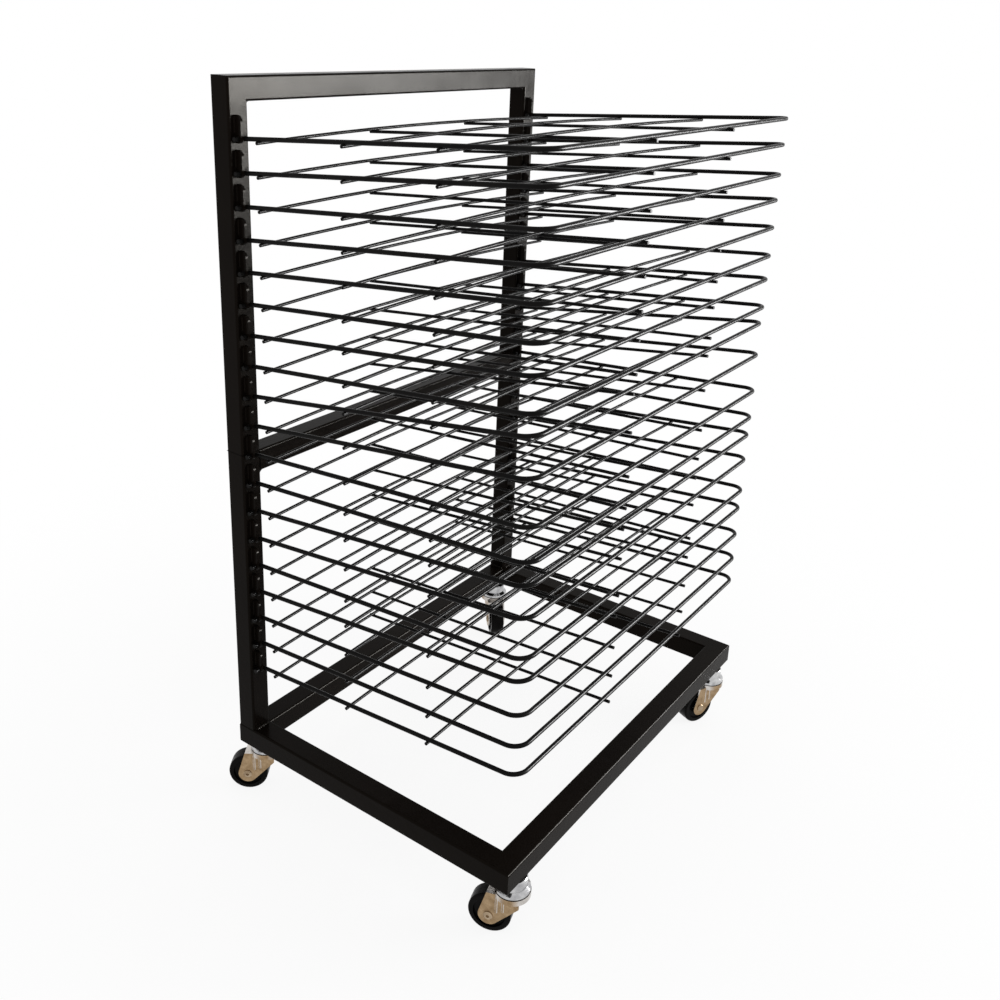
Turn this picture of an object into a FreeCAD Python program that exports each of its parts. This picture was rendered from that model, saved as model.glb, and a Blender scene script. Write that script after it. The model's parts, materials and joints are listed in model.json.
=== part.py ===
import FreeCAD, Part
import math
import os
import Sketcher
from FreeCAD import Placement, Rotation, Vector

# Art drying rack on four swivel casters.
# Two square-tube frames stand one on the other at the back of a tube base, and a stack of
# wire shelves is hooked into lugs on the front of the posts, where each shelf can be lifted.
# X runs across the rack, -Y is the front, +Z is up. The origin is on the floor, in the middle
# of the footprint that the frame and the trailing casters cover. Lengths are in millimetres
# and angles in degrees.

document = FreeCAD.newDocument("ArtDryingRack")
sheet = document.addObject("Spreadsheet::Sheet", "Sizes")

SIZES = (
    # square-tube frames
    ("rack_width", 452),
    ("rack_depth", 332),
    ("footprint_shift", 11),
    ("lower_height", 297.5),
    ("upper_height", 333.5),
    ("base_side", 22),
    ("tube_side", 21),
    ("tube_wall", 1.2),
    ("tube_arris", 2),
    ("lower_weld", 5.5),
    ("upper_weld", 3.5),
    ("spigot_length", 60),
    ("spigot_wall", 2),
    ("spigot_gap", 0.2),
    # lugs on the posts
    ("pivot_drop", 50.5),
    ("shelf_pitch", 28.35),
    ("pivot_out", 4),
    ("pin_clearance", 0.08),
    ("lug_thickness", 2.6),
    ("lug_eye", 3.6),
    ("lug_rise", 19.5),
    ("lug_round", 6),
    # wire shelves
    ("frame_wire", 4),
    ("mesh_wire", 3),
    ("wire_margin", 11.2),
    ("shelf_reach", 305.7),
    ("shelf_splay", 1.6),
    ("corner_bend", 14),
    ("hook_bend", 2.4),
    ("hook_gap", 0.3),
    ("pin_end", 4.5),
    ("cross_first", 19.3),
    ("cross_pitch", 95.3),
    ("cross_stub", 1),
    ("long_offset", 72),
    ("long_shift", 2.3),
    ("long_rise", 1.2),
    ("long_stub", 3),
    ("weld_sink", 0.5),
    # casters
    ("caster_height", 63),
    ("caster_inset", 25),
    ("caster_trail", 18.5),
    ("wheel_radius", 20),
    ("wheel_width", 16),
    ("tread_round", 2),
    ("dish_depth", 2),
    ("dish_radius", 15),
    ("hub_radius", 6),
    ("axle_radius", 3),
    ("axle_clearance", 0.06),
    ("axle_head_radius", 4.2),
    ("axle_head_height", 1.4),
    ("axle_dimple", 1.5),
    ("fork_gap", 1),
    ("hub_gap", 0.2),
    ("fork_wall", 1.5),
    ("fork_plate", 2.6),
    ("fork_eye", 9.5),
    ("fork_front", 9),
    ("fork_rear", 21),
    ("fork_chin", 10),
    ("rib_radius", 1.6),
    ("rib_proud", 0.6),
    ("stem_radius", 4),
    ("stem_length", 14),
    ("stem_clearance", 0.2),
    ("nut_height", 6.5),
    ("nut_flats", 13),
    ("cup_radius", 13),
    ("race_radius", 16),
    ("race_rim", 2.5),
    ("race_cone", 2.5),
    ("head_height", 14.5),
    ("lower_rim_radius", 16.5),
    ("race_gap", 0.8),
    ("race_wall", 1.6),
    ("skirt_gap", 0.6),
    ("ball_radius", 1.8),
    ("ball_circle", 10.5),
    ("ball_depth", 1.5),
    ("ball_seat", 0.5),
    ("ball_gap", 0.3),
    ("swivel_clearance", 0.08),
    ("rivet_radius", 6),
    ("rivet_height", 2),
    ("edge_break", 0.8),
)

# Upward slope of each shelf at rest, from the top one down, in degrees. Hand-bent wire shelves
# differ a little, so their slopes do too.
SHELF_TILTS = (4, 4.6, 4.4, 5, 5.1, 5, 5.7, 5.5, 7.5, 6.4, 4.2, 3.9, 5.4, 5.3, 3.8, 5.1, 4.4, 4.1, 4.2)

# Shelves hooked into the upper posts; the rest hang on the lower ones.
UPPER_SHELVES = 11

# Caster name, side of the rack, whether it is at the rear, and the heading of its trailing
# wheel from +X.
CASTERS = (
    ("front_left", -1, False, 108),
    ("front_right", 1, False, 157),
    ("rear_left", -1, True, 125),
    ("rear_right", 1, True, 225),
)

BALL_COUNT = 12

# Pressed ribs of a fork leg: place along the trail, and height of the lower end between the
# axle and the plate, both as shares.
RIBS = ((0.3, 0.36), (0.62, 0.26))

for row, (name, number) in enumerate(SIZES, start=1):
    sheet.set("A%d" % row, name)
    sheet.set("B%d" % row, str(number))
    sheet.setAlias("B%d" % row, name)
for shelf, tilt in enumerate(SHELF_TILTS, start=1):
    row = len(SIZES) + shelf
    sheet.set("A%d" % row, "tilt_%02d" % shelf)
    sheet.set("B%d" % row, str(tilt))
    sheet.setAlias("B%d" % row, "tilt_%02d" % shelf)
document.recompute()

parts = []


def size(name):
    """One number of the sheet."""
    return float(sheet.get(name))


def value(formula):
    """The number that a formula of sheet sizes stands for."""
    result = sheet.evalExpression(formula)
    return float(getattr(result, "Value", result))


# ------------------------------------------------------------------ sketch helpers

def body_named(label):
    body = document.addObject("PartDesign::Body", label)
    body.Label = label
    return body


def origin_plane(body, role):
    return next(item for item in body.Origin.OriginFeatures if item.Role == role)


def blank_sketch(body, name, plane):
    sketch = body.newObject("Sketcher::SketchObject", name)
    sketch.AttachmentSupport = [(origin_plane(body, plane), "")]
    sketch.MapMode = "FlatFace"
    return sketch


def fix_point(sketch, line, point, across, up):
    """Bind one sketch point to a formula for each of its coordinates."""
    for kind, axis, formula in (("DistanceX", -2, across), ("DistanceY", -1, up)):
        if formula == "0":
            sketch.addConstraint(Sketcher.Constraint("PointOnObject", line, point, axis))
            continue
        distance = Sketcher.Constraint(kind, -1, 1, line, point, value(formula))
        index = sketch.addConstraint(distance)
        sketch.setExpression("Constraints[%d]" % index, formula)


def outline(body, name, plane, corners):
    """Closed sketch of straight lines through corners given as pairs of formulas."""
    sketch = blank_sketch(body, name, plane)
    spots = [Vector(value(across), value(up), 0) for across, up in corners]
    for start, end in zip(spots, spots[1:] + spots[:1]):
        sketch.addGeometry(Part.LineSegment(start, end))
    for line in range(len(corners)):
        following = (line + 1) % len(corners)
        sketch.addConstraint(Sketcher.Constraint("Coincident", line, 2, following, 1))
    for line, (across, up) in enumerate(corners):
        fix_point(sketch, line, 1, across, up)
    return sketch


def square(body, name, plane, side):
    """Sketch of a square on the plane's middle, its side a formula."""
    half = "(%s) / 2" % side
    less = "-(%s) / 2" % side
    return outline(body, name, plane, ((less, less), (half, less), (half, half), (less, half)))


def circles(body, name, plane, centres, radius):
    """Sketch of equal circles; centres are pairs of formulas."""
    sketch = blank_sketch(body, name, plane)
    for number, (across, up) in enumerate(centres):
        middle = Vector(value(across), value(up), 0)
        sketch.addGeometry(Part.Circle(middle, Vector(0, 0, 1), value(radius)))
        fix_point(sketch, number, 3, across, up)
        index = sketch.addConstraint(Sketcher.Constraint("Radius", number, value(radius)))
        sketch.setExpression("Constraints[%d]" % index, radius)
    return sketch


def pad(body, name, sketch, length):
    feature = body.newObject("PartDesign::Pad", name)
    feature.Profile = sketch
    feature.SideType = "Symmetric"
    feature.setExpression("Length", length)
    document.recompute()
    return feature


def pocket_through(body, name, sketch, both_sides=True):
    feature = body.newObject("PartDesign::Pocket", name)
    feature.Profile = sketch
    feature.Type = "ThroughAll"
    feature.SideType = "Symmetric" if both_sides else "One side"
    document.recompute()
    return feature


def revolve(body, name, sketch, axis):
    feature = body.newObject("PartDesign::Revolution", name)
    feature.Profile = sketch
    feature.ReferenceAxis = (sketch, [axis])
    feature.Angle = 360
    document.recompute()
    return feature


def edges_along(feature, direction, picked=lambda edge: True):
    """Names of the straight edges that run in a direction."""
    names = []
    for number, edge in enumerate(feature.Shape.Edges, start=1):
        if edge.Curve.TypeId != "Part::GeomLine" or not picked(edge):
            continue
        if abs(abs(edge.tangentAt(edge.FirstParameter).dot(direction)) - 1) < 1e-6:
            names.append("Edge%d" % number)
    return names


def round_edges(body, name, feature, edges, radius):
    rounding = body.newObject("PartDesign::Fillet", name)
    rounding.Base = (feature, edges)
    rounding.setExpression("Radius", radius)
    document.recompute()
    return rounding


def keep(item, label, placement=None):
    """List an object as one of the rack's sub-parts."""
    item.Label = label
    if placement is not None:
        item.Placement = placement
    parts.append(item)
    return item


def shaped(label, shape, placement=None):
    """Sub-part whose shape is made outside a body."""
    item = document.addObject("Part::Feature", label)
    item.Shape = shape
    return keep(item, label, placement or Placement())


# ------------------------------------------------------------------ frame of square tube

RAIL = size("base_side")
TUBE = size("tube_side")
BASE_TOP = size("caster_height") + RAIL
JOINT = BASE_TOP + size("lower_height")
RACK_TOP = JOINT + size("upper_height")
BASE_MIDDLE_Y = -size("footprint_shift")
REAR_RAIL_Y = BASE_MIDDLE_Y + size("rack_depth") / 2 - RAIL / 2
FRONT_RAIL_Y = BASE_MIDDLE_Y - size("rack_depth") / 2 + RAIL / 2
RAIL_X = size("rack_width") / 2 - RAIL / 2
POST_Y = REAR_RAIL_Y + (RAIL - TUBE) / 2
POST_X = size("rack_width") / 2 - TUBE / 2
POST_FACE_Y = POST_Y - TUBE / 2


def tube(label, length, mitred_ends, placement, side="Sizes.tube_side", stem_holes=False):
    """Square tube along its own X, outer face +Y, cut back at 45 degrees on 0, 1 or 2 ends."""
    body = body_named(label)
    outer = square(body, label + "_section", "YZ_Plane", side)
    bar = pad(body, label + "_bar", outer, length)
    arrises = edges_along(bar, Vector(1, 0, 0))
    round_edges(body, label + "_arrises", bar, arrises, "Sizes.tube_arris")
    inner = square(body, label + "_bore_section", "YZ_Plane", side + " - 2 * Sizes.tube_wall")
    pocket_through(body, label + "_bore", inner)
    if mitred_ends:
        far = "(%s) / 2 + %s / 2" % (length, side)
        near = "(%s) / 2 - %s * 1.5" % (length, side)
        corners = ((far, "-" + side), (far, side), (near, "-" + side))
        wedge = outline(body, label + "_mitre_line", "XY_Plane", corners)
        mitre = pocket_through(body, label + "_mitre", wedge)
        if mitred_ends == 2:
            other = body.newObject("PartDesign::Mirrored", label + "_other_mitre")
            other.Originals = [mitre]
            other.MirrorPlane = (origin_plane(body, "YZ_Plane"), [""])
            body.Tip = other
            document.recompute()
    if stem_holes:
        across = "Sizes.rack_width / 2 - Sizes.caster_inset"
        spots = ((across, "0"), ("-(%s)" % across, "0"))
        radius = "Sizes.stem_radius + Sizes.stem_clearance"
        holes = circles(body, label + "_stem_spots", "XY_Plane", spots, radius)
        pocket_through(body, label + "_stem_holes", holes, both_sides=False)
    return keep(body, label, placement)


def turned(across, outward, place):
    """Placement that lays a tube's X and Y along two directions."""
    return Placement(place, Rotation(across, outward, across.cross(outward), "XYZ"))


def build_base():
    level = BASE_TOP - RAIL / 2
    front = turned(Vector(-1, 0, 0), Vector(0, -1, 0), Vector(0, FRONT_RAIL_Y, level))
    rear = turned(Vector(1, 0, 0), Vector(0, 1, 0), Vector(0, REAR_RAIL_Y, level))
    left = turned(Vector(0, 1, 0), Vector(-1, 0, 0), Vector(-RAIL_X, BASE_MIDDLE_Y, level))
    right = turned(Vector(0, -1, 0), Vector(1, 0, 0), Vector(RAIL_X, BASE_MIDDLE_Y, level))
    tube("base_front", "Sizes.rack_width", 2, front, "Sizes.base_side", stem_holes=True)
    tube("base_rear", "Sizes.rack_width", 2, rear, "Sizes.base_side", stem_holes=True)
    tube("base_left", "Sizes.rack_depth", 2, left, "Sizes.base_side")
    tube("base_right", "Sizes.rack_depth", 2, right, "Sizes.base_side")


def build_posts():
    up = Vector(0, 0, 1)
    for side, name in ((-1, "left"), (1, "right")):
        outward = Vector(side, 0, 0)
        lower = turned(up, outward, Vector(side * POST_X, POST_Y, (BASE_TOP + JOINT) / 2))
        upper = turned(up, outward, Vector(side * POST_X, POST_Y, (JOINT + RACK_TOP) / 2))
        tube("lower_post_" + name, "Sizes.lower_height", 0, lower)
        tube("upper_post_" + name, "Sizes.upper_height", 1, upper)
    along = Vector(1, 0, 0)
    bar_length = "Sizes.rack_width - 2 * Sizes.tube_side"
    tube("mid_bar", bar_length, 0, turned(along, up, Vector(0, POST_Y, JOINT - TUBE / 2)))
    tube("top_bar", "Sizes.rack_width", 2, turned(along, up, Vector(0, POST_Y, RACK_TOP - TUBE / 2)))


def build_welds():
    """Hollow-faced weld beads in the corners under the two cross bars."""
    beads = []
    depth = TUBE - 2 * size("tube_arris")
    for side in (-1, 1):
        for leg, height in ((size("lower_weld"), JOINT - TUBE), (size("upper_weld"), RACK_TOP - TUBE)):
            corner = side * (POST_X - TUBE / 2)
            start = min(corner, corner - side * leg)
            block = Part.makeBox(leg, depth, leg, Vector(start, POST_Y - depth / 2, height - leg))
            middle = Vector(corner - side * leg, POST_Y - depth / 2, height - leg)
            hollow = Part.makeCylinder(leg, depth, middle, Vector(0, 1, 0))
            beads.append(block.cut(hollow))
    shaped("corner_welds", Part.makeCompound(beads))


def build_spigots():
    """Short tubes inside the posts that hold the upper frame on the lower one."""
    outer = TUBE - 2 * size("tube_wall") - 2 * size("spigot_gap")
    inner = outer - 2 * size("spigot_wall")
    length = size("spigot_length")
    spigots = []
    for side in (-1, 1):
        foot = Vector(side * POST_X, POST_Y, JOINT - length / 2)
        block = Part.makeBox(outer, outer, length, foot - Vector(outer / 2, outer / 2, 0))
        bore = Part.makeBox(inner, inner, length, foot - Vector(inner / 2, inner / 2, 0))
        spigots.append(block.cut(bore))
    shaped("joint_spigots", Part.makeCompound(spigots))


# ------------------------------------------------------------------ lugs

PIVOT_Y = POST_FACE_Y - size("pivot_out")
SIDE_WIRE_X = size("rack_width") / 2 - size("wire_margin")
LUG_STEP = size("hook_bend") + size("hook_gap") + size("lug_thickness") / 2


def pivot_height(shelf):
    """Height of a shelf's pivot; shelf 1 is the top one."""
    return RACK_TOP - size("pivot_drop") - (shelf - 1) * size("shelf_pitch")


def build_lug():
    """One hook plate, its pivot at the origin, its thickness along X."""
    body = body_named("hook_plate")
    eye = "Sizes.lug_eye"
    corners = (
        ("Sizes.pivot_out", "-" + eye),
        ("Sizes.pivot_out", "Sizes.lug_rise"),
        ("-" + eye, "Sizes.lug_rise"),
        ("-" + eye, "-" + eye),
    )
    plate = pad(body, "hook_plate_pad", outline(body, "hook_plate_line", "YZ_Plane", corners),
                "Sizes.lug_thickness")
    nose = -size("lug_eye")
    shoulder = edges_along(plate, Vector(1, 0, 0),
                           lambda edge: edge.CenterOfMass.y < nose + 0.01 and edge.CenterOfMass.z > 0)
    rounded = round_edges(body, "hook_plate_shoulder", plate, shoulder, "Sizes.lug_round")
    chin = edges_along(rounded, Vector(1, 0, 0),
                       lambda edge: edge.CenterOfMass.y < nose + 0.01 and edge.CenterOfMass.z < nose / 2)
    round_edges(body, "hook_plate_eye", rounded, chin, "Sizes.lug_eye")
    radius = "Sizes.frame_wire / 2 + Sizes.pin_clearance"
    hole = circles(body, "hook_plate_hole_line", "YZ_Plane", (("0", "0"),), radius)
    pocket_through(body, "hook_plate_hole", hole)
    return body.Shape


def build_lugs():
    """Both rows of plates stand to the left of the wire they hold, so a shelf goes in sideways."""
    lug = build_lug()
    upper = range(1, UPPER_SHELVES + 1)
    lower = range(UPPER_SHELVES + 1, len(SHELF_TILTS) + 1)
    for side, side_name in ((-1, "left"), (1, "right")):
        across = side * SIDE_WIRE_X - LUG_STEP
        for level, shelves in (("upper", upper), ("lower", lower)):
            plates = []
            for shelf in shelves:
                plates.append(lug.translated(Vector(across, PIVOT_Y, pivot_height(shelf))))
            shaped("%s_lugs_%s" % (level, side_name), Part.makeCompound(plates))


# ------------------------------------------------------------------ wire shelves

FRAME_R = size("frame_wire") / 2
MESH_R = size("mesh_wire") / 2
LAYER_DROP = FRAME_R + MESH_R - size("weld_sink")


def bent_wire(points, bends, radius):
    """Round wire through points, with an arc of the given bend radius at each inner point."""
    edges = []
    start = points[0]
    for point, before, after, bend in zip(points[1:-1], points, points[2:], bends):
        inward = (before - point).normalize()
        outward = (after - point).normalize()
        half_turn = (math.pi - inward.getAngle(outward)) / 2
        reach = bend * math.tan(half_turn)
        first = point + inward * reach
        last = point + outward * reach
        centre_way = (inward + outward).normalize()
        middle = point + centre_way * (bend / math.cos(half_turn) - bend)
        edges.append(Part.LineSegment(start, first).toShape())
        edges.append(Part.Arc(first, middle, last).toShape())
        start = last
    edges.append(Part.LineSegment(start, points[-1]).toShape())
    path = Part.Wire(edges)
    direction = (points[1] - points[0]).normalize()
    section = Part.Wire([Part.Circle(points[0], direction, radius).toShape()])
    solid = path.makePipeShell([section], True, False)
    expected = math.pi * radius ** 2 * path.Length
    if abs(solid.Volume - expected) > 0.01 * expected:
        raise RuntimeError("bent wire lost volume")
    return solid


def side_wire_x(forward):
    """Half distance between the side wires' centres, at a distance in front of the pivot."""
    return SIDE_WIRE_X + size("shelf_splay") * forward / size("shelf_reach")


def shelf_rim():
    """U-shaped rim of a shelf, flat, with both pins bent to the left along the pivot axis."""
    pin = Vector(-(LUG_STEP + size("lug_thickness") / 2 + size("pin_end")), 0, 0)
    left = Vector(-SIDE_WIRE_X, 0, 0)
    right = Vector(SIDE_WIRE_X, 0, 0)
    front_x = side_wire_x(size("shelf_reach"))
    front_left = Vector(-front_x, -size("shelf_reach"), 0)
    front_right = Vector(front_x, -size("shelf_reach"), 0)
    points = (left + pin, left, front_left, front_right, right, right + pin)
    bends = (size("hook_bend"), size("corner_bend"), size("corner_bend"), size("hook_bend"))
    return bent_wire(points, bends, FRAME_R)


def long_height(forward):
    """Height of the long wires' centre: under the front wire, and higher towards the posts."""
    share = (size("shelf_reach") - forward) / (size("shelf_reach") - size("cross_first"))
    return size("long_rise") * share - LAYER_DROP


def cross_wire(number):
    """Wire under the side wires that arches over the two long wires."""
    forward = size("cross_first") + number * size("cross_pitch")
    half_chord = side_wire_x(forward)
    over_long = long_height(forward) + 2 * MESH_R - size("weld_sink")
    crown = (over_long + LAYER_DROP) / (1 - (size("long_offset") / half_chord) ** 2)
    arch_radius = (half_chord ** 2 + crown ** 2) / (2 * crown)
    half_angle = math.asin((half_chord + FRAME_R + size("cross_stub")) / arch_radius)
    start = Vector(-math.sin(half_angle), 0, math.cos(half_angle))
    axis = Vector(0, 1, 0)
    wire = document.addObject("Part::Torus", "cross_wire_%d" % (number + 1))
    wire.Radius1 = arch_radius
    wire.setExpression("Radius2", "Sizes.mesh_wire / 2")
    wire.Angle3 = math.degrees(2 * half_angle)
    centre = Vector(0, -forward, crown - LAYER_DROP - arch_radius)
    wire.Placement = Placement(centre, Rotation(start, axis.cross(start), axis, "XYZ"))
    return wire


def long_wire(side, name):
    """Straight wire from behind the first cross wire to just past the front wire."""
    back = size("cross_first") - MESH_R - size("long_stub")
    front = size("shelf_reach") + FRAME_R + size("long_stub")
    across = side * size("long_offset") - size("long_shift")
    start = Vector(across, -back, long_height(back))
    end = Vector(across, -front, long_height(front))
    wire = document.addObject("Part::Cylinder", "long_wire_" + name)
    wire.setExpression("Radius", "Sizes.mesh_wire / 2")
    wire.Height = (end - start).Length
    wire.Placement = Placement(start, Rotation(Vector(0, 0, 1), end - start))
    return wire


def build_shelves():
    rim = document.addObject("Part::Feature", "rim")
    rim.Shape = shelf_rim()
    wires = [rim] + [cross_wire(number) for number in range(3)]
    wires += [long_wire(-1, "left"), long_wire(1, "right")]
    for shelf in range(1, len(SHELF_TILTS) + 1):
        name = "shelf_%02d" % shelf
        group = document.addObject("Part::Compound", name)
        group.Links = wires
        pivot = Vector(0, PIVOT_Y, pivot_height(shelf))
        tilt = size("tilt_%02d" % shelf)
        keep(group, name, Placement(pivot, Rotation(Vector(-1, 0, 0), tilt)))


# ------------------------------------------------------------------ casters

FLOOR_TO_TUBE = "Sizes.caster_height"
UPPER_RACE = "(Sizes.caster_height - Sizes.head_height)"
LOWER_RIM = "(%s - Sizes.race_gap)" % UPPER_RACE
BALL_LEVEL = "(%s - Sizes.ball_depth)" % LOWER_RIM
PLATE_TOP = "(%s - Sizes.ball_radius + Sizes.ball_seat)" % BALL_LEVEL
PLATE_BOTTOM = "(%s - Sizes.fork_plate)" % PLATE_TOP
SKIRT = "(%s + Sizes.ball_radius - Sizes.ball_seat + Sizes.ball_gap / 2)" % BALL_LEVEL
RIVET_TOP = "(%s - Sizes.ball_gap)" % PLATE_BOTTOM
FORK_INNER = "(Sizes.wheel_width / 2 + Sizes.fork_gap)"
FORK_OUTER = "(%s + Sizes.fork_wall)" % FORK_INNER


def caster_stem(label, place):
    """Threaded stem, domed upper race and king pin, all one turned and pressed piece."""
    body = body_named(label)
    skirt_radius = "Sizes.lower_rim_radius - Sizes.race_wall - Sizes.skirt_gap"
    stem_top = FLOOR_TO_TUBE + " + Sizes.stem_length"
    corners = (
        ("0", RIVET_TOP + " - Sizes.rivet_height"),
        ("Sizes.rivet_radius - Sizes.edge_break", RIVET_TOP + " - Sizes.rivet_height"),
        ("Sizes.rivet_radius", RIVET_TOP + " - Sizes.rivet_height + Sizes.edge_break"),
        ("Sizes.rivet_radius", RIVET_TOP),
        ("Sizes.stem_radius", RIVET_TOP),
        ("Sizes.stem_radius", SKIRT),
        (skirt_radius, SKIRT),
        (skirt_radius, UPPER_RACE),
        ("Sizes.race_radius", UPPER_RACE),
        ("Sizes.race_radius", UPPER_RACE + " + Sizes.race_rim"),
        ("Sizes.cup_radius", UPPER_RACE + " + Sizes.race_rim + Sizes.race_cone"),
        ("Sizes.cup_radius", FLOOR_TO_TUBE + " - Sizes.edge_break"),
        ("Sizes.cup_radius - Sizes.edge_break", FLOOR_TO_TUBE),
        ("Sizes.stem_radius", FLOOR_TO_TUBE),
        ("Sizes.stem_radius", stem_top + " - Sizes.edge_break"),
        ("Sizes.stem_radius - Sizes.edge_break", stem_top),
        ("0", stem_top),
    )
    section = outline(body, label + "_section", "XZ_Plane", corners)
    revolve(body, label + "_turned", section, "V_Axis")
    track_radius = "Sizes.ball_radius + Sizes.ball_gap"
    spots = (("Sizes.ball_circle", BALL_LEVEL),)
    track = circles(body, label + "_track_section", "XZ_Plane", spots, track_radius)
    groove = body.newObject("PartDesign::Groove", label + "_track")
    groove.Profile = track
    groove.ReferenceAxis = (track, ["V_Axis"])
    groove.Angle = 360
    document.recompute()
    return keep(body, label, place)


def fork_profile():
    """Side outline of a fork leg: a plate edge above and a round eye about the axle below."""
    top = value(PLATE_TOP)
    eye = Vector(size("caster_trail"), 0, size("wheel_radius"))
    radius = size("fork_eye")
    front_top = Vector(-size("fork_front"), 0, top)
    rear_top = Vector(size("fork_rear"), 0, top)
    front_chin = Vector(-size("fork_front"), 0, top - size("fork_chin"))

    def touch(outside, turn):
        """Point where a line from an outside point meets the eye's circle."""
        away = outside - eye
        spread = math.acos(radius / away.Length)
        bearing = math.atan2(away.z, away.x) + turn * spread
        return eye + Vector(math.cos(bearing), 0, math.sin(bearing)) * radius

    rear_touch = touch(rear_top, -1)
    front_touch = touch(front_chin, 1)
    below = (rear_touch + front_touch) / 2 - eye
    arc_middle = eye + below.normalize() * radius
    edges = [
        Part.LineSegment(front_chin, front_top).toShape(),
        Part.LineSegment(front_top, rear_top).toShape(),
        Part.LineSegment(rear_top, rear_touch).toShape(),
        Part.Arc(rear_touch, arc_middle, front_touch).toShape(),
        Part.LineSegment(front_touch, front_chin).toShape(),
    ]
    return Part.Face(Part.Wire(edges))


def fork_shape():
    """Pressed fork: two legs, the plate between them and the cup of the lower race."""
    outer = value(FORK_OUTER)
    inner = value(FORK_INNER)
    profile = fork_profile()
    profile.translate(Vector(0, -outer, 0))
    legs = profile.extrude(Vector(0, 2 * outer, 0))
    tall = size("caster_height")
    wide = size("caster_height") * 2
    slot = Part.makeBox(wide, 2 * inner, tall, Vector(-tall, -inner, value(PLATE_BOTTOM) - tall))
    fork = legs.cut(slot)
    rim = size("lower_rim_radius")
    cup_height = value(LOWER_RIM) - value(PLATE_BOTTOM)
    cup = Part.makeCylinder(rim, cup_height, Vector(0, 0, value(PLATE_BOTTOM)))
    fork = fork.fuse(cup)
    well = Part.makeCylinder(rim - size("race_wall"), cup_height, Vector(0, 0, value(PLATE_TOP)))
    fork = fork.cut(well)
    track = Part.makeTorus(size("ball_circle"), size("ball_radius") + size("swivel_clearance"),
                           Vector(0, 0, value(BALL_LEVEL)))
    fork = fork.cut(track)
    pin_hole = Part.makeCylinder(size("stem_radius") + size("swivel_clearance"), tall)
    fork = fork.cut(pin_hole)
    for trail_share, foot_share in RIBS:
        along = size("caster_trail") * trail_share
        reach = value(PLATE_BOTTOM) - size("wheel_radius")
        foot = size("wheel_radius") + reach * foot_share
        for side in (-1, 1):
            offset = outer + size("rib_proud") - size("rib_radius")
            spot = Vector(along, side * offset, foot)
            height = value(PLATE_BOTTOM) - foot
            rib = Part.makeCylinder(size("rib_radius"), height, spot)
            tip = Part.makeSphere(size("rib_radius"), spot)
            outside = Part.makeBox(wide, outer, tall, Vector(-tall, 0 if side > 0 else -outer, 0))
            outside.translate(Vector(0, side * (outer - size("fork_wall") / 2), 0))
            fork = fork.fuse(rib.fuse(tip).common(outside))
    bore = Part.makeCylinder(size("axle_radius") + size("axle_clearance"), 3 * outer,
                             Vector(size("caster_trail"), -1.5 * outer, size("wheel_radius")),
                             Vector(0, 1, 0))
    return fork.cut(bore).removeSplitter()


def caster_balls():
    balls = []
    for number in range(BALL_COUNT):
        turn = 2 * math.pi * number / BALL_COUNT
        spot = Vector(math.cos(turn), math.sin(turn), 0) * size("ball_circle")
        balls.append(Part.makeSphere(size("ball_radius"), spot + Vector(0, 0, value(BALL_LEVEL))))
    return Part.makeCompound(balls)


def caster_wheel(label, place):
    """Moulded wheel turned about its own Z: round tread, dished sides and a longer hub."""
    body = body_named(label)
    half = "Sizes.wheel_width / 2"
    hub_end = "(%s - Sizes.hub_gap)" % FORK_INNER
    bore = "Sizes.axle_radius + Sizes.axle_clearance"
    dish = "(%s - Sizes.dish_depth)" % half
    upper = (
        (bore, hub_end),
        ("Sizes.hub_radius", hub_end),
        ("Sizes.hub_radius", dish),
        ("Sizes.dish_radius", dish),
        ("Sizes.dish_radius", half),
        ("Sizes.wheel_radius", half),
    )
    lower = tuple((across, "-(%s)" % up) for across, up in reversed(upper))
    section = outline(body, label + "_section", "XZ_Plane", upper + lower)
    turned_wheel = revolve(body, label + "_turned", section, "V_Axis")
    tread = []
    for number, edge in enumerate(turned_wheel.Shape.Edges, start=1):
        is_circle = edge.Curve.TypeId == "Part::GeomCircle"
        if is_circle and abs(edge.Curve.Radius - size("wheel_radius")) < 0.001:
            tread.append("Edge%d" % number)
    round_edges(body, label + "_tread", turned_wheel, tread, "Sizes.tread_round")
    return keep(body, label, place)


def caster_axle(label, place):
    """Axle rivet turned about its own Z, with a flat head and a rolled, hollow tail."""
    body = body_named(label)
    outer = FORK_OUTER
    head = "(%s + Sizes.axle_head_height)" % outer
    crown = "Sizes.axle_head_radius - Sizes.edge_break"
    corners = (
        ("0", "-" + head),
        (crown, "-" + head),
        ("Sizes.axle_head_radius", "-%s + Sizes.edge_break" % head),
        ("Sizes.axle_head_radius", "-" + outer),
        ("Sizes.axle_radius", "-" + outer),
        ("Sizes.axle_radius", outer),
        ("Sizes.axle_head_radius", outer),
        ("Sizes.axle_head_radius", head + " - Sizes.edge_break"),
        (crown, head),
        ("Sizes.axle_dimple", head),
        ("Sizes.axle_dimple", outer),
        ("0", outer),
    )
    section = outline(body, label + "_section", "XZ_Plane", corners)
    revolve(body, label + "_turned", section, "V_Axis")
    return keep(body, label, place)


def caster_spot(side, at_rear, height):
    """Point on a caster's swivel axis."""
    across = side * (size("rack_width") / 2 - size("caster_inset"))
    return Vector(across, REAR_RAIL_Y if at_rear else FRONT_RAIL_Y, height)


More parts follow.
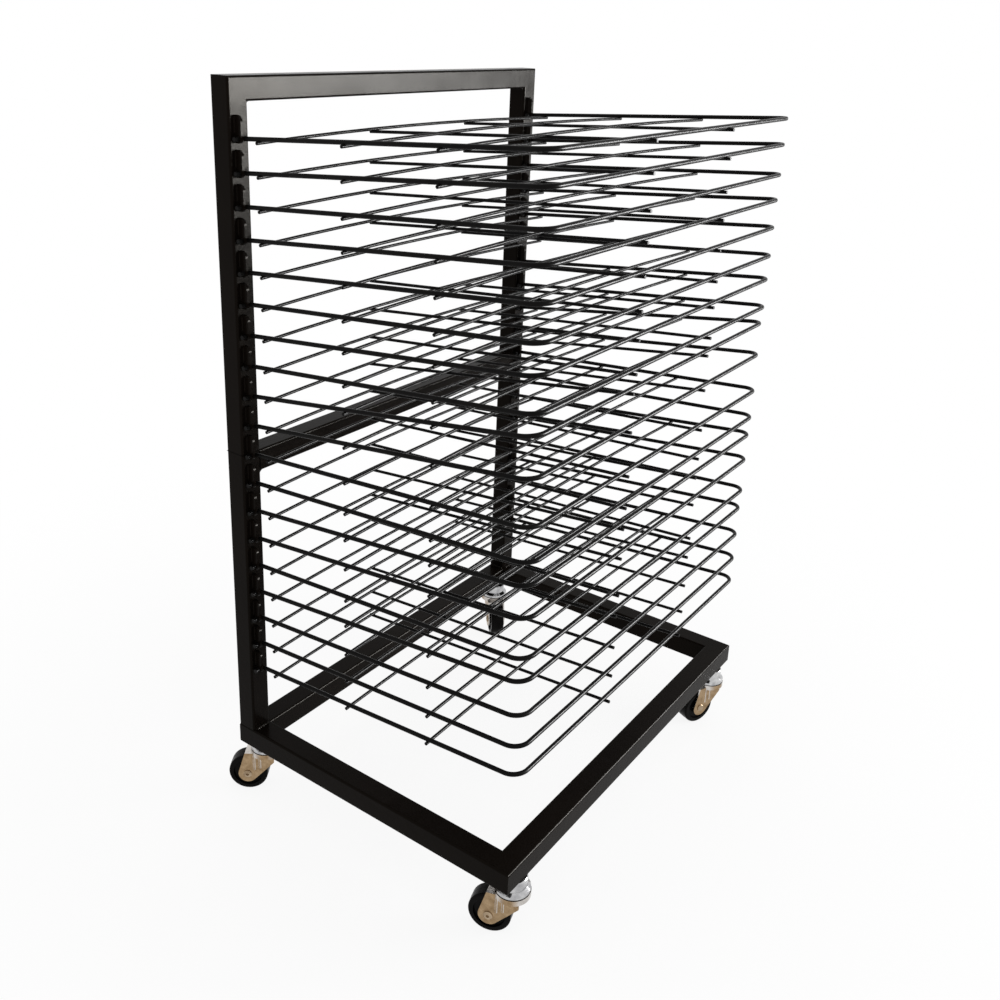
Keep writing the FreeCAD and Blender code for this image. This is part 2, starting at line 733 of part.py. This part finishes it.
def build_casters():
    fork = fork_shape()
    balls = caster_balls()
    for name, side, at_rear, heading in CASTERS:
        label = "caster_" + name
        swivel = Placement(caster_spot(side, at_rear, 0), Rotation(Vector(0, 0, 1), heading))
        # the axle's own Z is laid along the swivel's Y, at the axle's height behind the stem
        axle_spot = Vector(size("caster_trail"), 0, size("wheel_radius"))
        axle_turn = Rotation(Vector(1, 0, 0), 90 * side)
        axle = swivel.multiply(Placement(axle_spot, axle_turn))
        caster_stem(label + "_stem", swivel)
        shaped(label + "_fork", fork.copy(), swivel)
        shaped(label + "_balls", balls.copy(), swivel)
        caster_axle(label + "_axle", axle)
        caster_wheel(label + "_wheel", axle)


def build_nuts():
    """Hexagon nuts inside the base tubes that the caster stems are screwed into."""
    nuts = []
    seat = size("caster_height") + size("tube_wall")
    corner_radius = size("nut_flats") / 2 / math.cos(math.radians(30))
    for _, side, at_rear, _ in CASTERS:
        middle = caster_spot(side, at_rear, seat)
        ring = [middle + Vector(math.cos(turn), math.sin(turn), 0) * corner_radius
                for turn in (math.radians(60 * step) for step in range(7))]
        block = Part.Face(Part.makePolygon(ring)).extrude(Vector(0, 0, size("nut_height")))
        bore = Part.makeCylinder(size("stem_radius"), size("nut_height"), middle)
        nuts.append(block.cut(bore))
    shaped("stem_nuts", Part.makeCompound(nuts))


# ------------------------------------------------------------------ assembly

build_base()
build_posts()
build_welds()
build_spigots()
build_lugs()
build_shelves()
build_casters()
build_nuts()
document.recompute()

for item in document.Objects:
    if "Invalid" in item.State or "Error" in item.State:
        raise RuntimeError("%s failed: %s" % (item.Label, item.State))
for item in parts:
    if item.Shape.isNull() or not item.Shape.isValid():
        raise RuntimeError("%s has no valid shape" % item.Label)

os.makedirs("parts", exist_ok=True)
for item in parts:
    item.Shape.exportStep("parts/%s.step" % item.Label)
print("%d sub-parts" % len(parts))
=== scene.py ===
import json
import math
import random

import bpy
from mathutils import Matrix, Vector


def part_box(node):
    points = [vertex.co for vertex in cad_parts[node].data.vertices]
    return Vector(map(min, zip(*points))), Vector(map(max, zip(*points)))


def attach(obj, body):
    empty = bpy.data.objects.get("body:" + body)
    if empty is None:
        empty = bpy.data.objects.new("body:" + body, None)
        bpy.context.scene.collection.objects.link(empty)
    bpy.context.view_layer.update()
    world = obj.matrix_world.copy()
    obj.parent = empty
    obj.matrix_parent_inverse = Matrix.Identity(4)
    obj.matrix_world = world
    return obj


# Art drying rack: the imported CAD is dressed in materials, gets its small welds and seams, and
# stands in a white studio. Lengths are in metres, in the CAD's frame.

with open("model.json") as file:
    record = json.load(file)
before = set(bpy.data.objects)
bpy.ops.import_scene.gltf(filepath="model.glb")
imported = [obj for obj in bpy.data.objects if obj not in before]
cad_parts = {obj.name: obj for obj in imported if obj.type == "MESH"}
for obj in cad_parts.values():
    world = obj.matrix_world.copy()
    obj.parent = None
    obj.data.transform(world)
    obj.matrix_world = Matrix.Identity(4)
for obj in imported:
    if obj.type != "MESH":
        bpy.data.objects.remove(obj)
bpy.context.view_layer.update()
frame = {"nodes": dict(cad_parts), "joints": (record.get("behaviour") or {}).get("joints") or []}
JOINTS = {joint["name"]: joint for joint in frame["joints"]}
SHELVES = sorted(name for name in frame["nodes"] if name.startswith("shelf_"))


# ------------------------------------------------------------------ shader helpers

def blank_material(name):
    """New material with one Principled shader in its tree."""
    material = bpy.data.materials.new(name)
    material.use_nodes = True
    tree = material.node_tree
    tree.nodes.clear()
    output = tree.nodes.new("ShaderNodeOutputMaterial")
    shader = tree.nodes.new("ShaderNodeBsdfPrincipled")
    tree.links.new(shader.outputs["BSDF"], output.inputs["Surface"])
    return material, tree, shader


def noise(tree, place, scale, detail=2.0, roughness=0.5):
    """Factor of a noise that lives in object space."""
    node = tree.nodes.new("ShaderNodeTexNoise")
    node.inputs["Scale"].default_value = scale
    node.inputs["Detail"].default_value = detail
    node.inputs["Roughness"].default_value = roughness
    tree.links.new(place, node.inputs["Vector"])
    return node.outputs["Fac"]


def object_place(tree, stretch=(1, 1, 1)):
    """Object coordinates, stretched along the axes."""
    coordinates = tree.nodes.new("ShaderNodeTexCoord")
    mapping = tree.nodes.new("ShaderNodeMapping")
    mapping.inputs["Scale"].default_value = stretch
    tree.links.new(coordinates.outputs["Object"], mapping.inputs["Vector"])
    return mapping.outputs["Vector"]


def ramp(tree, factor, low, high, start=0.3, end=0.7):
    """Blend of two colours by a factor."""
    node = tree.nodes.new("ShaderNodeValToRGB")
    node.color_ramp.elements[0].position = start
    node.color_ramp.elements[0].color = (*low, 1)
    node.color_ramp.elements[1].position = end
    node.color_ramp.elements[1].color = (*high, 1)
    tree.links.new(factor, node.inputs["Fac"])
    return node.outputs["Color"]


def spread(tree, factor, low, high):
    """A factor stretched from low to high."""
    node = tree.nodes.new("ShaderNodeMapRange")
    node.inputs["From Min"].default_value = 0.3
    node.inputs["From Max"].default_value = 0.7
    node.inputs["To Min"].default_value = low
    node.inputs["To Max"].default_value = high
    tree.links.new(factor, node.inputs["Value"])
    return node.outputs["Result"]


def bump(tree, shader, height, strength, distance, below=None):
    """Bump on the shader's normal, over another one if there is one below."""
    node = tree.nodes.new("ShaderNodeBump")
    node.inputs["Strength"].default_value = strength
    node.inputs["Distance"].default_value = distance
    tree.links.new(height, node.inputs["Height"])
    if below is not None:
        tree.links.new(below, node.inputs["Normal"])
    tree.links.new(node.outputs["Normal"], shader.inputs["Normal"])
    return node.outputs["Normal"]


# ------------------------------------------------------------------ materials

def powder_coat():
    """Satin black powder coat on the tubes: a black with a fine, slightly wavy skin, whose warm
    tone in its colour and its gloss is a painted reflection of a warm brown floor.

    Its gloss is low because the white studio is reflected in it from all sides."""
    material, tree, shader = blank_material("black_coat_tube")
    place = object_place(tree)
    drift = noise(tree, place, scale=9, detail=3)
    # tone that differs at random, warm as a painted reflection of a warm brown floor
    colour = ramp(tree, drift, (0.0034, 0.0024, 0.0018), (0.0058, 0.0040, 0.0030))
    tree.links.new(colour, shader.inputs["Base Color"])
    patches = noise(tree, place, scale=38, detail=4, roughness=0.6)
    tree.links.new(spread(tree, patches, low=0.20, high=0.27), shader.inputs["Roughness"])
    shader.inputs["Specular IOR Level"].default_value = 0.026
    # painted reflection: the gloss is tinted warm as if a warm brown floor were reflected in it
    shader.inputs["Specular Tint"].default_value = (1.0, 0.95, 0.86, 1)
    skin = noise(tree, place, scale=620, detail=2)
    first = bump(tree, shader, skin, strength=0.10, distance=0.0004)
    waves = noise(tree, place, scale=150, detail=1)
    bump(tree, shader, waves, strength=0.08, distance=0.001, below=first)
    return material


def wire_coat():
    """Thin, glossier black coat on the wires."""
    material, tree, shader = blank_material("black_coat_wire")
    place = object_place(tree)
    drift = noise(tree, place, scale=25, detail=2)
    colour = ramp(tree, drift, (0.0036, 0.0034, 0.0033), (0.0064, 0.0058, 0.0055))
    tree.links.new(colour, shader.inputs["Base Color"])
    patches = noise(tree, place, scale=90, detail=3)
    tree.links.new(spread(tree, patches, low=0.22, high=0.34), shader.inputs["Roughness"])
    shader.inputs["Specular IOR Level"].default_value = 0.045
    skin = noise(tree, place, scale=700, detail=2)
    bump(tree, shader, skin, strength=0.08, distance=0.0003)
    return material


def zinc(name, low, high, rough_low, rough_high, stretch):
    """Zinc plate or steel with rolling marks along the pressed sheet."""
    material, tree, shader = blank_material(name)
    shader.inputs["Metallic"].default_value = 1.0
    place = object_place(tree)
    clouds = noise(tree, place, scale=140, detail=3)
    colour = ramp(tree, clouds, low, high)
    tree.links.new(colour, shader.inputs["Base Color"])
    marks = noise(tree, object_place(tree, stretch), scale=400, detail=3, roughness=0.6)
    tree.links.new(spread(tree, marks, rough_low, rough_high), shader.inputs["Roughness"])
    bump(tree, shader, marks, strength=0.12, distance=0.0003)
    return material


PAINTED_HIGHLIGHT_FACING = (0.80, 0.985)   # from the painted highlight on the ribs to the yellow flat of a fork's leg


def fork_plating_and_highlight(name, leg_normal):
    """Yellow zinc on the fork's legs, with a painted highlight in light grey on their ribs and on
    the plate above, set by which way each surface faces.
    """
    material, tree, shader = blank_material(name)
    shader.inputs["Metallic"].default_value = 1.0
    coordinates = tree.nodes.new("ShaderNodeTexCoord")
    facing = tree.nodes.new("ShaderNodeVectorMath")
    facing.operation = "DOT_PRODUCT"
    facing.inputs[1].default_value = leg_normal
    tree.links.new(coordinates.outputs["Normal"], facing.inputs[0])
    flat = tree.nodes.new("ShaderNodeMath")
    flat.operation = "ABSOLUTE"
    tree.links.new(facing.outputs["Value"], flat.inputs[0])
    place = object_place(tree)
    clouds = noise(tree, place, scale=170, detail=4, roughness=0.6)
    yellow = ramp(tree, clouds, (0.235, 0.155, 0.082), (0.40, 0.285, 0.17))
    # painted highlight: light grey where the surface turns away from the leg's flat, on the ribs
    # and the plate
    bright = ramp(tree, clouds, (0.50, 0.47, 0.44), (0.66, 0.63, 0.60))
    # 0 on the painted highlight, 1 on the yellow flat of the leg
    share = tree.nodes.new("ShaderNodeMapRange")
    share.inputs["From Min"].default_value = PAINTED_HIGHLIGHT_FACING[0]
    share.inputs["From Max"].default_value = PAINTED_HIGHLIGHT_FACING[1]
    tree.links.new(flat.outputs[0], share.inputs["Value"])
    mix = tree.nodes.new("ShaderNodeMix")
    mix.data_type = "RGBA"
    tree.links.new(share.outputs["Result"], mix.inputs["Factor"])
    tree.links.new(bright, mix.inputs["A"])
    tree.links.new(yellow, mix.inputs["B"])
    tree.links.new(mix.outputs["Result"], shader.inputs["Base Color"])
    marks = noise(tree, object_place(tree, (1, 1, 0.12)), scale=420, detail=3, roughness=0.6)
    tree.links.new(spread(tree, marks, low=0.20, high=0.36), shader.inputs["Roughness"])
    bump(tree, shader, marks, strength=0.12, distance=0.0003)
    return material


def gap_shade_black():
    """Painted shade: near-black for the shade in a hairline gap between two coated tubes."""
    material, tree, shader = blank_material("gap_shade_black")
    place = object_place(tree)
    drift = noise(tree, place, scale=80, detail=2)
    colour = ramp(tree, drift, (0.0010, 0.0009, 0.0009), (0.0022, 0.0020, 0.0019))
    tree.links.new(colour, shader.inputs["Base Color"])
    shader.inputs["Roughness"].default_value = 0.8
    shader.inputs["Specular IOR Level"].default_value = 0.0
    return material


def wheel_plastic():
    """Hard black moulded wheel."""
    material, tree, shader = blank_material("black_wheel_gloss")
    place = object_place(tree)
    drift = noise(tree, place, scale=60, detail=2)
    colour = ramp(tree, drift, (0.0026, 0.0022, 0.0021), (0.0056, 0.0050, 0.0048))
    tree.links.new(colour, shader.inputs["Base Color"])
    scuffs = noise(tree, place, scale=260, detail=4, roughness=0.65)
    tree.links.new(spread(tree, scuffs, low=0.16, high=0.34), shader.inputs["Roughness"])
    shader.inputs["Specular IOR Level"].default_value = 0.035
    bump(tree, shader, scuffs, strength=0.05, distance=0.0002)
    return material


def dress(nodes, material):
    """Give carried-over nodes one material."""
    for name in nodes:
        mesh = frame["nodes"][name].data
        if not mesh.materials:
            mesh.materials.append(material)
        for slot in range(len(mesh.materials)):
            mesh.materials[slot] = material


def named(*words):
    """Names of the carried-over nodes that hold one of the words."""
    return [name for name in frame["nodes"] if any(word in name for word in words)]


def dress_nodes(coat, wire, wheel):
    """Give every carried-over node its material."""
    dress(named("base_", "post_", "_bar", "_lugs_", "corner_welds"), coat)
    dress(named("shelf_"), wire)
    dress(named("_wheel"), wheel)
    bright = zinc("zinc_head", low=(0.34, 0.34, 0.35), high=(0.60, 0.60, 0.60),
                  rough_low=0.10, rough_high=0.22, stretch=(1, 1, 4))
    yellowed = zinc("zinc_axle", low=(0.26, 0.185, 0.115), high=(0.44, 0.345, 0.24),
                    rough_low=0.2, rough_high=0.34, stretch=(1, 1, 1))
    plain = zinc("plain_steel", low=(0.34, 0.34, 0.34), high=(0.48, 0.48, 0.47),
                 rough_low=0.3, rough_high=0.45, stretch=(1, 1, 1))
    dress(named("_stem"), bright)
    dress(named("_axle"), yellowed)
    for fork in named("_fork"):
        leg_normal = JOINTS[fork.replace("_fork", "_roll")]["axis"]
        dress([fork], fork_plating_and_highlight(fork + "_zinc", leg_normal))
    dress(named("_balls", "stem_nuts", "joint_spigots"), plain)


# ------------------------------------------------------------------ welds and seams

# The shelf's sizes, as in the CAD.
RAISED = 65                     # angle of a fully raised shelf above level, in degrees
FRAME_WIRE = 0.004              # rim wire's diameter
MESH_WIRE = 0.003               # diameter of the cross and long wires
WELD_SINK = 0.0005              # depth to which crossing wires are melted into each other
SIDE_WIRE_X = 0.2148            # rim's side wire at the pivot
SHELF_REACH = 0.3057            # from the pivot to the rim's front wire
SHELF_SPLAY = 0.0016            # widening of each side towards the front
CROSS_WIRES = 3
CROSS_FIRST = 0.0193            # from the pivot to the first cross wire
CROSS_PITCH = 0.0953
LONG_WIRES = (-0.0743, 0.0697)  # where the long wires lie across the shelf
LONG_RISE = 0.0012              # the long wires' rise towards the posts
LAYER_DROP = FRAME_WIRE / 2 + MESH_WIRE / 2 - WELD_SINK

NUGGET_WIDTHS = (0.0017, 0.0021)
NUGGET_HEIGHT = 0.0011
NUGGET_SEED = 4

BEAD_SIDES = 6
BEAD_LEAST_STEPS = 8
BEAD_STEPS_PER_RIPPLE = 4
BEAD_RIPPLE = 0.10
BEAD_JITTER = 0.04
BEAD_END = 0.35                 # share of the full bead at its ends
BEAD_GROWTH = 6                 # how fast it grows from there
BEAD_ROOT = 0.2                 # depth of its root in the corner, as a share of its leg
BEAD_HOLLOW = 0.18

LUG_BEAD_HEAD = 0.0185          # above the pivot
LUG_BEAD_FOOT = 0.0035
LUG_BEAD_LEG = 0.0011
LUG_BEAD_PITCH = 0.0022
LUG_BEAD_SEED = 7

FOOT_BEAD_INSET = 0.0015
FOOT_BEAD_LEG = 0.0022
FOOT_BEAD_PITCH = 0.003
FOOT_BEAD_SEED = 9

JOINT_SEAM_HALF = 0.00022
JOINT_SEAM_PROUD = 0.00006

MOULD_SEAM_SIDES = 72
MOULD_SEAM_HALF = 0.00030
MOULD_SEAM_PROUD = 0.00012


def add_piece(name, points, faces, material, body, smooth=True):
    """New piece from points in the row frame, riding on a body."""
    mesh = bpy.data.meshes.new(name)
    mesh.from_pydata(points, [], faces)
    mesh.polygons.foreach_set("use_smooth", [smooth] * len(mesh.polygons))
    mesh.materials.append(material)
    piece = bpy.data.objects.new(name, mesh)
    bpy.context.scene.collection.objects.link(piece)
    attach(piece, body)


def add_blob(points, faces, centre, half_sizes, turn, rings=6, sides=10):
    """Add an ellipsoid to lists of points and faces; turn is a 3x3 matrix."""
    start = len(points)
    for ring in range(rings + 1):
        lift = math.pi * ring / rings
        for side in range(sides):
            round_about = 2 * math.pi * side / sides
            spot = Vector((math.sin(lift) * math.cos(round_about) * half_sizes[0],
                           math.sin(lift) * math.sin(round_about) * half_sizes[1],
                           math.cos(lift) * half_sizes[2]))
            points.append(tuple(centre + turn @ spot))
    for ring in range(rings):
        for side in range(sides):
            following = (side + 1) % sides
            first = start + ring * sides
            faces.append((first + side, first + sides + side,
                          first + sides + following, first + following))


def add_bead(points, faces, start, end, across, up, leg, pitch, rng):
    """Add a rippled fillet bead along a corner; across and up point out along its two walls."""
    along = end - start
    steps = max(BEAD_LEAST_STEPS, int(along.length / pitch * BEAD_STEPS_PER_RIPPLE))
    first = len(points)
    for step in range(steps + 1):
        share = step / steps
        wave = math.cos(2 * math.pi * share * along.length / pitch)
        ripple = 1 + BEAD_RIPPLE * wave + rng.uniform(-BEAD_JITTER, BEAD_JITTER)
        taper = min(1.0, BEAD_END + BEAD_GROWTH * min(share, 1 - share))
        reach = leg * ripple * taper
        spot = start + along * share
        points.append(tuple(spot - (across + up) * reach * BEAD_ROOT))
        for side in range(BEAD_SIDES):
            angle = math.pi / 2 * side / (BEAD_SIDES - 1)
            out = (across * math.cos(angle) + up * math.sin(angle)) * reach
            points.append(tuple(spot + out * (1 - BEAD_HOLLOW * math.sin(2 * angle))))
    row = BEAD_SIDES + 1
    for step in range(steps):
        for side in range(row):
            following = (side + 1) % row
            low = first + step * row
            faces.append((low + side, low + following, low + row + following, low + row + side))
    faces.append(tuple(range(first + row - 1, first - 1, -1)))
    faces.append(tuple(range(first + steps * row, first + (steps + 1) * row)))


def side_wire_x(forward):
    """Where the rim's side wire lies across the shelf."""
    return SIDE_WIRE_X + SHELF_SPLAY * forward / SHELF_REACH


def long_height(forward):
    """Height of the long wires' middle against the rim's; they lie under it."""
    share = (SHELF_REACH - forward) / (SHELF_REACH - CROSS_FIRST)
    return LONG_RISE * share - LAYER_DROP


def wire_crossings():
    """Welded spots of one shelf, flat: across, forward of the pivot, and height."""
    side_contact = -(FRAME_WIRE - WELD_SINK) / 2
    spots = []
    for number in range(CROSS_WIRES):
        forward = CROSS_FIRST + number * CROSS_PITCH
        for side in (-1, 1):
            spots.append((side * side_wire_x(forward), forward, side_contact))
        for across in LONG_WIRES:
            contact = long_height(forward) + (MESH_WIRE - WELD_SINK) / 2
            spots.append((across, forward, contact))
    for across in LONG_WIRES:
        spots.append((across, SHELF_REACH, side_contact))
    return spots


def build_wire_welds(material):
    """Small nuggets where the wires of each shelf are welded across each other."""
    rng = random.Random(NUGGET_SEED)
    for shelf in SHELVES:
        joint = JOINTS[shelf + "_lift"]
        turn = Matrix.Rotation(-math.radians(RAISED - joint["range_deg"][1]), 3, "X")
        points = []
        faces = []
        for across, forward, height in wire_crossings():
            centre = Vector(joint["pos_m"]) + turn @ Vector((across, -forward, height))
            wide = rng.uniform(*NUGGET_WIDTHS)
            deep = rng.uniform(*NUGGET_WIDTHS)
            add_blob(points, faces, centre, (wide, deep, NUGGET_HEIGHT), turn)
        add_piece(shelf + "_nuggets", points, faces, material, shelf)


def build_lug_beads(material):
    """Fillet beads down both sides of each hook plate's foot."""
    rng = random.Random(LUG_BEAD_SEED)
    forward = Vector((0, -1, 0))
    for group in named("_lugs_"):
        low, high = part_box(group)
        points = []
        faces = []
        for shelf in SHELVES:
            pivot = JOINTS[shelf + "_lift"]["pos_m"][2]
            if not low.z < pivot < high.z:
                continue
            for wall, outward in ((low.x, -1), (high.x, 1)):
                head = Vector((wall, high.y, pivot + LUG_BEAD_HEAD))
                foot = Vector((wall, high.y, pivot + LUG_BEAD_FOOT))
                add_bead(points, faces, head, foot, across=Vector((outward, 0, 0)), up=forward,
                         leg=LUG_BEAD_LEG, pitch=LUG_BEAD_PITCH, rng=rng)
        add_piece(group + "_beads", points, faces, material, "frame")


def build_foot_beads(material):
    """Beads where the lower posts stand on the base: across the front and down the inner side."""
    rng = random.Random(FOOT_BEAD_SEED)
    forward = Vector((0, -1, 0))
    up = Vector((0, 0, 1))
    for side, name in ((-1, "left"), (1, "right")):
        low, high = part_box("lower_post_" + name)
        inner = high.x if side < 0 else low.x
        points = []
        faces = []
        runs = ((Vector((low.x + FOOT_BEAD_INSET, low.y, low.z)),
                 Vector((high.x - FOOT_BEAD_INSET, low.y, low.z)), forward),
                (Vector((inner, low.y + FOOT_BEAD_INSET, low.z)),
                 Vector((inner, high.y - FOOT_BEAD_INSET, low.z)), Vector((-side, 0, 0))))
        for start, end, outward in runs:
            add_bead(points, faces, start, end, across=outward, up=up,
                     leg=FOOT_BEAD_LEG, pitch=FOOT_BEAD_PITCH, rng=rng)
        add_piece("post_foot_beads_" + name, points, faces, material, "frame")


def build_joint_seams(material):
    """Thin ring painted near-black as the shade in the gap where an upper post stands on the lower
    one.
    """
    proud = JOINT_SEAM_PROUD
    for name in ("left", "right"):
        low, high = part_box("upper_post_" + name)
        points = []
        for level in (low.z - JOINT_SEAM_HALF, low.z + JOINT_SEAM_HALF):
            points += [(low.x - proud, low.y - proud, level),
                       (high.x + proud, low.y - proud, level),
                       (high.x + proud, high.y + proud, level),
                       (low.x - proud, high.y + proud, level)]
        faces = [(side, (side + 1) % 4, 4 + (side + 1) % 4, 4 + side) for side in range(4)]
        add_piece("joint_seam_" + name, points, faces, material, "frame",
                  smooth=False)


def build_wheel_seams(material):
    """Fine ridge of the mould's parting line round each tread."""
    sides = MOULD_SEAM_SIDES
    half = MOULD_SEAM_HALF
    proud = MOULD_SEAM_PROUD
    for name in named("_wheel"):
        joint = JOINTS[name.replace("_wheel", "_roll")]
        middle = Vector(joint["pos_m"])
        axle = Vector(joint["axis"]).normalized()
        start = axle.orthogonal().normalized()
        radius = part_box(name)[1].z - middle.z
        points = []
        for side in range(sides):
            spoke = Matrix.Rotation(2 * math.pi * side / sides, 3, axle) @ start
            points.append(tuple(middle + spoke * (radius - proud) - axle * half))
            points.append(tuple(middle + spoke * (radius + proud)))
            points.append(tuple(middle + spoke * (radius - proud) + axle * half))
        faces = []
        for side in range(sides):
            here = 3 * side
            there = 3 * ((side + 1) % sides)
            faces.append((here, there, there + 1, here + 1))
            faces.append((here + 1, there + 1, there + 2, here + 2))
        add_piece(name + "_seam", points, faces, material, name)


# ------------------------------------------------------------------ studio

WORLD_FILL = 0.75               # the world's light on the object
FLOOR_REACH = 12
FLOOR_PAINT = (0.93, 0.93, 0.93, 1)
FLOOR_PLAIN_RADIUS = 0.25       # the floor starts to fade into the backdrop here
FLOOR_FADE_RADIUS = 1.0         # and is faded here
FLOOR_LEAST_GLOW = 0.88         # share of white near the rack, the rest shows its shadow

WINDOW_PLACE = (1.38, -1.70, 0.60)
WINDOW_TARGET = (-0.1, 0.13, 0.6)
WINDOW_WIDTH = 1.3
WINDOW_HEIGHT = 0.5
WINDOW_POWER = 30
SHEEN_POWER = 470               # shows only in the gloss of the coated pieces

OVERHEAD_PLACE = (-0.2, 0.1, 2.6)
OVERHEAD_TARGET = (0, 0, 0.3)
OVERHEAD_SIZE = 1.6
OVERHEAD_POWER = 4

# The photograph's camera, as fitted. Angles are in degrees.
EYE = (-0.8287, -0.5640, 0.7681)
HEADING = 55.207                # from straight back towards the right
PITCH = 18.927                  # down
ROLL = 2.364
SENSOR_WIDTH = 36
LENS = 38.379
SHIFT = (0.0022, -0.1156)


def seen_directly(tree):
    """1 for rays that the camera, a gloss or a glass sees, 0 for the rest."""
    path = tree.nodes.new("ShaderNodeLightPath")
    glossy = tree.nodes.new("ShaderNodeMath")
    glossy.operation = "MAXIMUM"
    tree.links.new(path.outputs["Is Camera Ray"], glossy.inputs[0])
    tree.links.new(path.outputs["Is Glossy Ray"], glossy.inputs[1])
    both = tree.nodes.new("ShaderNodeMath")
    both.operation = "MAXIMUM"
    tree.links.new(glossy.outputs[0], both.inputs[0])
    tree.links.new(path.outputs["Is Transmission Ray"], both.inputs[1])
    return both.outputs[0]


def build_world():
    """White backdrop that the camera and gloss see at 1, and that lights the rack a little less."""
    world = bpy.data.worlds.new("studio")
    bpy.context.scene.world = world
    world.use_nodes = True
    tree = world.node_tree
    tree.nodes.clear()
    output = tree.nodes.new("ShaderNodeOutputWorld")
    mix = tree.nodes.new("ShaderNodeMixShader")
    light = tree.nodes.new("ShaderNodeBackground")
    light.inputs["Color"].default_value = (1, 1, 1, 1)
    light.inputs["Strength"].default_value = WORLD_FILL
    white = tree.nodes.new("ShaderNodeBackground")
    white.inputs["Color"].default_value = (1, 1, 1, 1)
    white.inputs["Strength"].default_value = 1.0
    tree.links.new(seen_directly(tree), mix.inputs["Fac"])
    tree.links.new(light.outputs[0], mix.inputs[1])
    tree.links.new(white.outputs[0], mix.inputs[2])
    tree.links.new(mix.outputs[0], output.inputs["Surface"])


def build_floor():
    """White floor: it takes the rack's shadow near the rack and fades into the white backdrop."""
    mesh = bpy.data.meshes.new("floor")
    reach = FLOOR_REACH
    corners = [(-reach, -reach, 0), (reach, -reach, 0), (reach, reach, 0), (-reach, reach, 0)]
    mesh.from_pydata(corners, [], [(0, 1, 2, 3)])
    floor = bpy.data.objects.new("floor", mesh)
    bpy.context.scene.collection.objects.link(floor)
    material = bpy.data.materials.new("floor_white")
    material.use_nodes = True
    tree = material.node_tree
    tree.nodes.clear()
    output = tree.nodes.new("ShaderNodeOutputMaterial")
    paint = tree.nodes.new("ShaderNodeBsdfDiffuse")
    paint.inputs["Color"].default_value = FLOOR_PAINT
    glow = tree.nodes.new("ShaderNodeEmission")
    glow.inputs["Strength"].default_value = 1.0
    coordinates = tree.nodes.new("ShaderNodeTexCoord")
    length = tree.nodes.new("ShaderNodeVectorMath")
    length.operation = "LENGTH"
    tree.links.new(coordinates.outputs["Object"], length.inputs[0])
    fade = tree.nodes.new("ShaderNodeMapRange")
    fade.interpolation_type = "SMOOTHSTEP"
    fade.inputs["From Min"].default_value = FLOOR_PLAIN_RADIUS
    fade.inputs["From Max"].default_value = FLOOR_FADE_RADIUS
    fade.inputs["To Min"].default_value = FLOOR_LEAST_GLOW
    tree.links.new(length.outputs["Value"], fade.inputs["Value"])
    share = tree.nodes.new("ShaderNodeMath")
    share.operation = "MULTIPLY"
    tree.links.new(fade.outputs["Result"], share.inputs[0])
    tree.links.new(seen_directly(tree), share.inputs[1])
    mix = tree.nodes.new("ShaderNodeMixShader")
    tree.links.new(share.outputs[0], mix.inputs["Fac"])
    tree.links.new(paint.outputs[0], mix.inputs[1])
    tree.links.new(glow.outputs[0], mix.inputs[2])
    tree.links.new(mix.outputs[0], output.inputs["Surface"])
    mesh.materials.append(material)


def coated_pieces():
    """Everything with a black coat: all meshes but the casters and the floor."""
    return [piece for piece in bpy.data.objects
            if piece.type == "MESH" and not piece.name.startswith(("caster_", "floor"))]


def soft_box(name, place, target, width, height, power, sheen_on=None):
    """Rectangular lamp facing a target; with sheen_on it shows only in the gloss of those."""
    light = bpy.data.lights.new(name, "AREA")
    light.shape = "RECTANGLE"
    light.size = width
    light.size_y = height
    light.energy = power
    lamp = bpy.data.objects.new(name, light)
    lamp.location = place
    lamp.visible_camera = False
    if sheen_on is not None:
        lamp.visible_diffuse = False
        receivers = bpy.data.collections.new(name + "_receivers")
        for piece in sheen_on:
            receivers.objects.link(piece)
        lamp.light_linking.receiver_collection = receivers
    lamp.rotation_euler = (Vector(target) - Vector(place)).to_track_quat("-Z", "Y").to_euler()
    bpy.context.scene.collection.objects.link(lamp)


def build_lamps():
    """A window from the front right, its sheen in the black coat, and a weak one overhead."""
    soft_box("window", WINDOW_PLACE, WINDOW_TARGET, WINDOW_WIDTH, WINDOW_HEIGHT, WINDOW_POWER)
    soft_box("window_sheen", WINDOW_PLACE, WINDOW_TARGET, WINDOW_WIDTH, WINDOW_HEIGHT, SHEEN_POWER,
             sheen_on=coated_pieces())
    soft_box("overhead", OVERHEAD_PLACE, OVERHEAD_TARGET, OVERHEAD_SIZE, OVERHEAD_SIZE,
             OVERHEAD_POWER)


def build_camera():
    """Camera at the photograph's place and angle."""
    heading = math.radians(HEADING)
    pitch = math.radians(PITCH)
    roll = math.radians(ROLL)
    ahead = Vector((math.sin(heading) * math.cos(pitch), math.cos(heading) * math.cos(pitch),
                    -math.sin(pitch)))
    level_right = Vector((math.cos(heading), -math.sin(heading), 0))
    level_up = level_right.cross(ahead)
    right = level_right * math.cos(roll) + level_up * math.sin(roll)
    up = level_up * math.cos(roll) - level_right * math.sin(roll)
    turn = Matrix((right, up, -ahead)).transposed().to_4x4()
    data = bpy.data.cameras.new("camera")
    data.sensor_width = SENSOR_WIDTH
    data.lens = LENS
    data.shift_x, data.shift_y = SHIFT
    camera = bpy.data.objects.new("camera", data)
    camera.matrix_world = Matrix.Translation(EYE) @ turn
    bpy.context.scene.collection.objects.link(camera)
    bpy.context.scene.camera = camera


# ------------------------------------------------------------------ scene

coat = powder_coat()
wire = wire_coat()
wheel = wheel_plastic()
dress_nodes(coat, wire, wheel)
build_wire_welds(wire)
build_lug_beads(coat)
build_foot_beads(coat)
build_joint_seams(gap_shade_black())
build_wheel_seams(wheel)
build_world()
build_floor()
build_lamps()
build_camera()
bpy.context.scene.view_settings.view_transform = "Standard"
